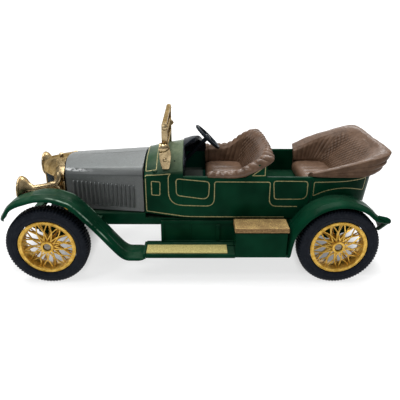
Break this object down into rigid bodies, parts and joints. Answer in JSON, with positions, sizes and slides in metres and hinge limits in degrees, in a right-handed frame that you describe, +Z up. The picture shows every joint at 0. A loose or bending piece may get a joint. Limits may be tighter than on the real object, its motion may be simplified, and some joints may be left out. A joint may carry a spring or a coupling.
{
  "type": "diecast model car",
  "caption": "Small diecast model of an open Edwardian touring car with spinning wire wheels, plated lamps and windscreen, moulded seats and a folded hood.",
  "frame": {"origin": "centre of the footprint, on the surface that the tyres stand on", "axes": "+X to the tail, +Y to the car's right-hand side, +Z up"},
  "size_m": [0.0866, 0.0342, 0.0356],
  "materials": {
    "green_paint": "gloss enamel, dark green",
    "silver_paint": "satin silver-grey",
    "gold_plate": "aged bright gold plating",
    "tread_gold": "sparkling gold paint",
    "bronze_paint": "rubbed bronze paint",
    "core_paint": "satin blue-black",
    "black_plastic": "semi-gloss black",
    "brown_plastic": "satin brown moulding",
    "steel": "plain steel",
    "wheel_gold": "metallised gold",
    "tyre_rubber": "blue-black rubber"
  },
  "bodies": {
    "root": {"chassis_casting": "green_paint", "base_plate": "green_paint", "toolbox": "green_paint", "body_tub": "green_paint", "bonnet": "silver_paint", "radiator_shell": "gold_plate", "left_headlamp": "gold_plate", "right_headlamp": "gold_plate", "windscreen_frame": "gold_plate", "left_tread_strip": "tread_gold", "right_tread_strip": "tread_gold", "toolbox_lid": "bronze_paint", "radiator_core": "core_paint", "dashboard": "black_plastic", "steering_column": "black_plastic", "steering_wheel": "black_plastic", "front_seat": "brown_plastic", "rear_seat": "brown_plastic", "folded_hood": "brown_plastic", "front_rivet": "steel", "rear_rivet": "steel", "front_axle": "steel", "rear_axle": "steel"},
    "front_left_wheel": {"front_left_rim": "wheel_gold", "front_left_tyre": "tyre_rubber"},
    "front_right_wheel": {"front_right_rim": "wheel_gold", "front_right_tyre": "tyre_rubber"},
    "rear_left_wheel": {"rear_left_rim": "wheel_gold", "rear_left_tyre": "tyre_rubber"},
    "rear_right_wheel": {"rear_right_rim": "wheel_gold", "rear_right_tyre": "tyre_rubber"}
  },
  "joints": [
    {"name": "front_left_spin", "type": "hinge", "parent": "root", "child": "front_left_wheel", "pos_m": [-0.0325, -0.015, 0.00915], "axis": [0, 1, 0], "continuous": true},
    {"name": "front_right_spin", "type": "hinge", "parent": "root", "child": "front_right_wheel", "pos_m": [-0.0325, 0.015, 0.00915], "axis": [0, 1, 0], "continuous": true},
    {"name": "rear_left_spin", "type": "hinge", "parent": "root", "child": "rear_left_wheel", "pos_m": [0.0325, -0.015, 0.00915], "axis": [0, 1, 0], "continuous": true},
    {"name": "rear_right_spin", "type": "hinge", "parent": "root", "child": "rear_right_wheel", "pos_m": [0.0325, 0.015, 0.00915], "axis": [0, 1, 0], "continuous": true}
  ]
}
